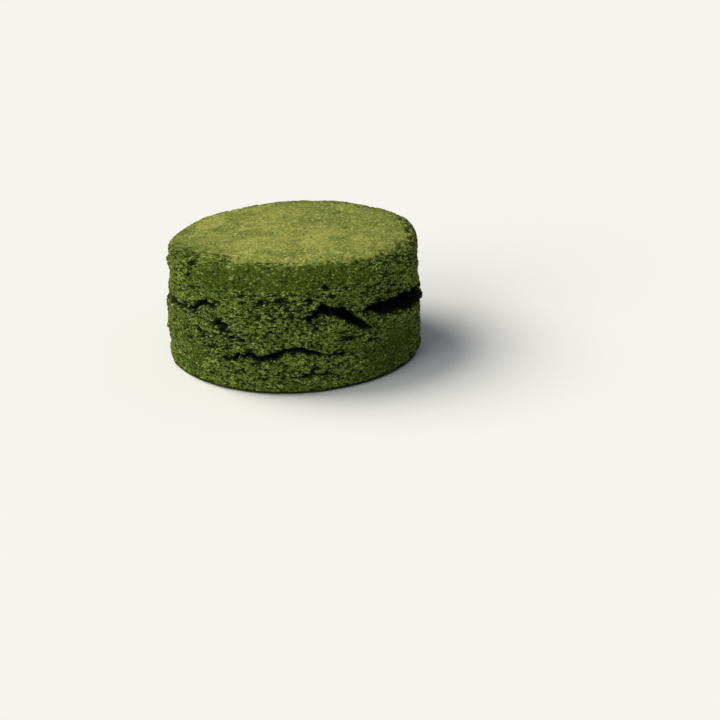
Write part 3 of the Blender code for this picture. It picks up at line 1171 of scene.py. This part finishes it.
        # strands run where the tangle is near its middle value
        off = add_node(
            tree, "ShaderNodeMath", [(tangle.outputs["Fac"], 0)], operation="SUBTRACT"
        )
        off.inputs[1].default_value = 0.5
        off = add_node(tree, "ShaderNodeMath", [(off.outputs[0], 0)], operation="ABSOLUTE")
        specks = add_node(
            tree, "ShaderNodeMath",
            [
                (self.share(tree, off.outputs[0], self.strand_width, 0.0), 0),
                (self.share(tree, skin.tip, 0.1, 0.8), 1),
                (self.share(tree, luck.outputs["Green"], 0.80, 1.10), 2),
            ],
            operation="MULTIPLY_ADD",
        ).outputs[0]
        bright = add_node(
            tree, "ShaderNodeMath", [(specks, 0), (skin.dry, 1)], operation="MULTIPLY"
        ).outputs[0]
        return self.painted(
            tree, self.crumb_deep,
            [
                Coat(self.crumb, self.cloud(tree, skin.seat, self.patch)),
                Coat(self.crumb_moist, luck.outputs["Red"], 0.4, 1.0),
                Coat(self.crumb_moist, skin.tip, 0.1, -0.6),
                # painted highlight on dry strands and grains
                Coat(self.crumb_bright, bright),
                # painted shade in the gaps, pores and cracks, nearly black deep in them
                Coat(self.painted_gap_shade, gaps),
                Coat(self.painted_gap_shade, skin.hollow, 0.0, 0.8),
                Coat(self.pit, skin.hollow, 0.8, 1.0),
            ],
        )

    def crust_colour(self, tree: Tree, skin: Surface) -> Socket:
        """Colours the crust, a broad mottle under deep and pale flecks, with painted shade at its
        back right and in its pits.

        Args:
            tree: the material's tree.
            skin: what it reads off the skin.

        Returns:
            The crust's colour.
        """
        return self.painted(
            tree, self.crust_green,
            [
                Coat(self.crust, self.cloud(tree, skin.seat, self.mottle)),
                # greener where the tip is low, which paints shade over the back right of the top
                Coat(self.crust_green, skin.tip, 0.35, -0.5),
                Coat(self.crust_deep, self.cloud(tree, skin.seat, self.deep_fleck, 0.50, 0.82)),
                Coat(self.crust_pale, self.cloud(tree, skin.seat, self.pale_fleck, 0.47, 0.82)),
                Coat(self.crust_pale, skin.tip, 0.7, 1.4),
                # painted shade in the crust's pits, wrinkles and gaps between flecks
                Coat(self.crumb_deep, skin.hollow),
            ],
        )

    def bumps(self, tree: Tree, skin: Surface, cells: bpy.types.Node, gaps: Socket) -> Socket:
        """Bends the light on what is finer than the mesh: grit, gaps and grains.

        Args:
            tree: the material's tree.
            skin: what it reads off the skin.
            cells: the node with the grains.
            gaps: the share of gap.

        Returns:
            The bent normal.
        """
        grit = add_node(
            tree, "ShaderNodeTexNoise", [(skin.seat, "Vector")],
            Scale=1 / (self.grit * MM), Detail=3.0,
        )
        bent = add_node(
            tree, "ShaderNodeBump", [(grit.outputs["Fac"], "Height")],
            Strength=0.6, Distance=self.grit_depth * MM,
        ).outputs["Normal"]
        carved = add_node(
            tree, "ShaderNodeMapRange", [(skin.crust, "Value")],
            To_Min=self.crumb_carving, To_Max=self.crust_carving,
        ).outputs["Result"]
        for height in (gaps, cells.outputs["Distance"]):
            bent = add_node(
                tree, "ShaderNodeBump",
                [(height, "Height"), (bent, "Normal"), (carved, "Strength")],
                invert=True, Distance=self.crumb_depth * MM,
            ).outputs["Normal"]
        return bent

    def share(self, tree: Tree, value: Socket, none_at: float, all_at: float) -> Socket:
        """How far a value has come from one level to another, from 0 to 1."""
        return add_node(
            tree, "ShaderNodeMapRange", [(value, "Value")], interpolation_type="SMOOTHSTEP",
            From_Min=none_at, From_Max=all_at,
        ).outputs["Result"]

    def cloud(
        self, tree: Tree, seat: Socket, size: float, none_at: float = 0.35, all_at: float = 0.65
    ) -> Socket:
        """Soft patches of a size in mm, as a share between two levels of the pattern."""
        patches = add_node(
            tree, "ShaderNodeTexNoise", [(seat, "Vector")], Scale=1 / (size * MM), Detail=2.0
        )
        return self.share(tree, patches.outputs["Fac"], none_at, all_at)

    def painted(self, tree: Tree, ground: str | Socket, coats: Sequence[Coat]) -> Socket:
        """Lays coats of colour over each other.

        Args:
            tree: the material's tree.
            ground: the colour below them all.
            coats: the coats, from the lowest to the topmost.

        Returns:
            The colour that shows.
        """
        for coat in coats:
            covered = coat.value
            if coat.none_at is not None:
                covered = self.share(tree, coat.value, coat.none_at, coat.all_at)
            mix = add_node(tree, "ShaderNodeMix", [(covered, 0)], data_type="RGBA")
            for colour, target in ((ground, mix.inputs[6]), (coat.colour, mix.inputs[7])):
                if isinstance(colour, str):
                    target.default_value = linear(colour)
                else:
                    tree.links.new(colour, target)
            ground = mix.outputs[2]
        return ground


@dataclass(frozen=True)
class MattPaper:
    """Seamless background paper, pressed matt, so that it shows no highlight.

    It is a cool white, which the warm lamps bring back to neutral.
    """

    name: str = "background_paper"
    colour: str = "#eef2fa"
    roughness: float = 0.95
    specular: float = 0.1

    def material(self) -> bpy.types.Material:
        """Builds the paper's material.

        Returns:
            The material.
        """
        made = bpy.data.materials.new(self.name)
        made.use_nodes = True
        shader = made.node_tree.nodes["Principled BSDF"]
        shader.inputs["Base Color"].default_value = linear(self.colour)
        shader.inputs["Roughness"].default_value = self.roughness
        shader.inputs["Specular IOR Level"].default_value = self.specular
        return made


# ---------------------------------------------------------------- the scone


@dataclass
class SconeSkin:
    """The scone's skin with its crust, crumb, cracks and pores."""

    form: SconeForm = field(default_factory=SconeForm)
    crumb: Crumb = field(default_factory=Crumb)
    disc_steps: int = 160  # the top's faces along each side of its grid
    foot_steps: int = 40  # and the underside's
    foot_share: float = 0.97  # how far the underside's grid goes out, with a ring to fill left
    row_height: float = 0.27
    seam: float = 0.002  # points closer than this are one

    def build(self, finish: bpy.types.Material) -> bpy.types.Object:
        """Builds the skin and dresses it.

        Args:
            finish: the dough's material.

        Returns:
            The piece, linked to the scene.
        """
        skin = bmesh.new()
        self.add_disc(skin, self.disc_steps, self.form.flat_radius, on_top=True)
        self.add_band(skin)
        foot_radius = self.form.foot_radius * self.foot_share
        self.add_disc(skin, self.foot_steps, foot_radius, on_top=False)
        bmesh.ops.remove_doubles(skin, verts=skin.verts, dist=self.seam)
        bmesh.ops.bridge_loops(skin, edges=[edge for edge in skin.edges if edge.is_boundary])
        bmesh.ops.recalc_face_normals(skin, faces=skin.faces)
        for vertex in skin.verts:
            vertex.co = self.form.placed(vertex.co)
        skin.normal_update()
        self.roughen(skin)
        bmesh.ops.transform(skin, matrix=Matrix.Scale(MM, 4), verts=skin.verts)
        return new_piece("scone_skin", skin, finish)

    def add_disc(self, skin: bmesh.types.BMesh, steps: int, radius: float, on_top: bool) -> None:
        """Adds the top or the underside, a square grid drawn out to a round one.

        Args:
            skin: the mesh that it is added to.
            steps: the grid's faces along each side.
            radius: the disc's radius.
            on_top: whether it is the top.
        """
        grid = bmesh.ops.create_grid(skin, x_segments=steps, y_segments=steps, size=1.0)
        for vertex in grid["verts"]:
            along, across = vertex.co.x, vertex.co.y
            reach = max(abs(along), abs(across), 1e-9)  # never 0, also in the middle
            if abs(along) >= abs(across):
                angle = math.pi / 4 * across * along / reach**2 + (along < 0) * math.pi
            else:
                angle = math.pi / 2 - math.pi / 4 * along * across / reach**2
                angle += (across < 0) * math.pi
            ring = radius * reach
            height = self.form.top_height(ring) if on_top else 0.0
            vertex.co = on_side(angle, ring, height)

    def add_band(self, skin: bmesh.types.BMesh) -> None:
        """Adds the side with the rim and the foot, a grid wrapped round the axis.

        Args:
            skin: the mesh that it is added to.
        """
        rows = self.form.side_profile(self.row_height)
        turns, last = 4 * self.disc_steps, len(rows) - 1
        grid = bmesh.ops.create_grid(skin, x_segments=turns, y_segments=last, size=0.5)
        for vertex in grid["verts"]:
            radius, height = rows[round((vertex.co.y + 0.5) * last)]
            vertex.co = on_side(vertex.co.x * math.tau, radius, height)

    def roughen(self, skin: bmesh.types.BMesh) -> None:
        """Moves each point by its fine relief and notes on it what the material reads.

        Args:
            skin: the closed skin in mm, already in the scone's form.
        """
        # without a seed, the noise that bends the grains' outlines would start from the clock
        noise.seed_set(self.crumb.grain_seed)
        lines = self.crumb.lines_near()
        # one of these notes holds the painted shade of pores, cracks, pits and the foot
        noted = [skin.verts.layers.float.new(name) for name in ("crust", "hollow", "tip")]
        for vertex in skin.verts:
            place = vertex.co.copy()
            found = self.crumb.relief(place, vertex.normal, lines)
            radial = Vector((place.x, place.y, 0)).normalized()
            place += vertex.normal * found.out - radial * found.inwards
            place.z = max(place.z, 0.0)
            vertex.co = place
            for layer, value in zip(noted, (found.crust, found.hollow, found.tip)):
                vertex[layer] = value


@dataclass
class ClingingCrumbs:
    """Loose grains of crumb that cling to the side, all in one mesh of small rough balls."""

    count: int = 2600
    seed: int = 12
    radii: tuple[float, float] = (0.10, 0.22)
    lengths: tuple[float, float] = (1.0, 1.6)  # how many times longer than wide
    flatness: float = 0.7
    rough: float = 0.25  # how far its corners stray, as a share of its radius
    tip: float = 0.9  # as dry as the crumb's tips, so they carry the same painted highlight
    lowest: float = 1.0  # they sit between these heights
    highest: float = 25.0
    most_crust: float = 0.3  # and where the skin is crumb, free of painted shade, and proud
    most_hollow: float = 0.1
    least_tip: float = 0.25
    batch: int = 100  # made at a time, since a mesh grows slowly once it is large

    def build(self, skin: bpy.types.Object, finish: bpy.types.Material) -> bpy.types.Object:
        """Builds the crumbs on a finished skin.

        Args:
            skin: the scone's skin.
            finish: the dough's material.

        Returns:
            The piece, linked to the scene.
        """
        pick = random.Random(self.seed)
        seats = self.seats(skin.data)
        gathered = bpy.data.meshes.new("crumb_batch")
        whole = bmesh.new()
        for _ in range(0, self.count, self.batch):
            few = bmesh.new()
            for index in pick.sample(seats, self.batch):
                self.add_crumb(few, skin.data.vertices[index], pick)
            few.to_mesh(gathered)
            few.free()
            whole.from_mesh(gathered)
        bpy.data.meshes.remove(gathered)
        tip = whole.verts.layers.float.new("tip")
        for vertex in whole.verts:
            vertex[tip] = self.tip
        return new_piece("clinging_crumbs", whole, finish)

    def seats(self, mesh: bpy.types.Mesh) -> list[int]:
        """Finds where a crumb can sit, on what stands proud in dry crumb.

        Args:
            mesh: the skin's mesh.

        Returns:
            The vertices' numbers.
        """
        crust, hollow, tip = (
            [entry.value for entry in mesh.attributes[name].data]
            for name in ("crust", "hollow", "tip")
        )
        return [
            index for index in range(len(mesh.vertices))
            if crust[index] < self.most_crust
            and hollow[index] < self.most_hollow
            and tip[index] > self.least_tip
            and self.lowest * MM < mesh.vertices[index].co.z < self.highest * MM
        ]

    def add_crumb(
        self, few: bmesh.types.BMesh, seat: bpy.types.MeshVertex, pick: random.Random
    ) -> None:
        """Adds one crumb.

        Args:
            few: the mesh that it is added to, in metres.
            seat: the skin's vertex that it sits on.
            pick: where its size and turn come from.
        """
        radius = pick.uniform(*self.radii) * MM
        turned = seat.normal.to_track_quat("Z", "Y").to_matrix().to_4x4()
        spun = Matrix.Rotation(pick.uniform(0, math.tau), 4, "Z")
        sized = Matrix.Diagonal((pick.uniform(*self.lengths), 1.0, self.flatness, 1.0))
        placed = Matrix.Translation(seat.co) @ turned @ spun @ sized
        made = bmesh.ops.create_icosphere(few, subdivisions=1, radius=radius, matrix=placed)
        for vertex in made["verts"]:
            vertex.co += Vector([pick.uniform(-1, 1) for _ in range(3)]) * self.rough * radius


# ---------------------------------------------------------------- studio


class Lamp(NamedTuple):
    """A large soft light from far away, so that it lights the floor evenly."""

    name: str
    colour: str
    towards: tuple[float, float, float]
    spread: float  # how wide it looks from the scone, in degrees
    power: float


@dataclass
class Studio:
    """The floor, the lights and the camera."""

    eye: tuple[float, float, float] = (15.1, -342.519, 143.148)
    pitch: float = math.radians(23.392)  # downwards
    roll: float = math.radians(-2.673)
    lens: float = 77.385
    sensor: float = 36.0
    clip: tuple[float, float] = (0.01, 20.0)  # in metres, as the floor's size is
    floor_size: float = 6.0
    lamps: tuple[Lamp, ...] = (
        Lamp("key", "#fff6e2", (-1.10, 0.50, 1.30), 46.0, 2.90),
        Lamp("front", "#fbf5e2", (-1.36, -1.10, 0.90), 48.0, 1.36),
    )
    fill_colour: str = "#ecf0f6"
    fill_strength: float = 0.25
    backdrop: str = "#ffffff"  # what the camera sees past the floor's edge

    def floor(self) -> bpy.types.Object:
        """Lays the pale floor that the scone stands on.

        Returns:
            The floor, linked to the scene.
        """
        sheet = bmesh.new()
        bmesh.ops.create_grid(sheet, x_segments=1, y_segments=1, size=self.floor_size / 2)
        return new_piece("floor", sheet, MattPaper().material())

    def lights(self) -> None:
        """Hangs the large soft lights and sets the pale surroundings."""
        for lamp in self.lamps:
            light = bpy.data.lights.new(lamp.name, "SUN")
            light.angle = math.radians(lamp.spread)
            light.energy = lamp.power
            light.color = linear(lamp.colour)[:3]
            hung = bpy.data.objects.new(lamp.name, light)
            hung.location = lamp.towards
            hung.rotation_euler = Vector(lamp.towards).to_track_quat("Z", "Y").to_euler()
            bpy.context.scene.collection.objects.link(hung)
        world = bpy.data.worlds.new("surroundings")
        world.use_nodes = True
        tree = world.node_tree
        background = tree.nodes["Background"]
        background.inputs["Color"].default_value = linear(self.fill_colour)
        background.inputs["Strength"].default_value = self.fill_strength
        seen = add_node(
            tree, "ShaderNodeBackground", Color=linear(self.backdrop), Strength=1.0
        )
        path = add_node(tree, "ShaderNodeLightPath")
        both = add_node(
            tree, "ShaderNodeMixShader",
            [
                (path.outputs["Is Camera Ray"], 0),
                (background.outputs["Background"], 1),
                (seen.outputs["Background"], 2),
            ],
        )
        tree.links.new(both.outputs["Shader"], tree.nodes["World Output"].inputs["Surface"])
        bpy.context.scene.world = world

    def camera(self) -> None:
        """Sets the camera at the photograph's angle and framing."""
        ahead = Vector((0, math.cos(self.pitch), -math.sin(self.pitch)))
        level = Vector((1, 0, 0))
        turned = Matrix.Rotation(-self.roll, 3, ahead)
        right, up = turned @ level, turned @ level.cross(ahead)
        lens = bpy.data.cameras.new("camera")
        lens.lens, lens.sensor_width = self.lens, self.sensor
        lens.clip_start, lens.clip_end = self.clip
        seen = bpy.data.objects.new("camera", lens)
        seen.matrix_world = Matrix.LocRotScale(
            Vector(self.eye) * MM, Matrix((right, up, -ahead)).transposed(), None
        )
        bpy.context.scene.collection.objects.link(seen)
        bpy.context.scene.camera = seen


def main() -> None:
    """Builds the scone and its studio."""
    logging.basicConfig(level=logging.INFO, format="%(name)s: %(message)s")
    studio = Studio()
    studio.camera()
    studio.lights()
    studio.floor()
    dough = BakedDough().material()
    skin = SconeSkin().build(dough)
    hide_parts("scone")
    for piece in (skin, ClingingCrumbs().build(skin, dough)):
        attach(piece, "root")
        LOG.info("%s: %d faces", piece.name, len(piece.data.polygons))
    bpy.context.scene.view_settings.view_transform = "Standard"


if __name__ == "__main__":
    main()
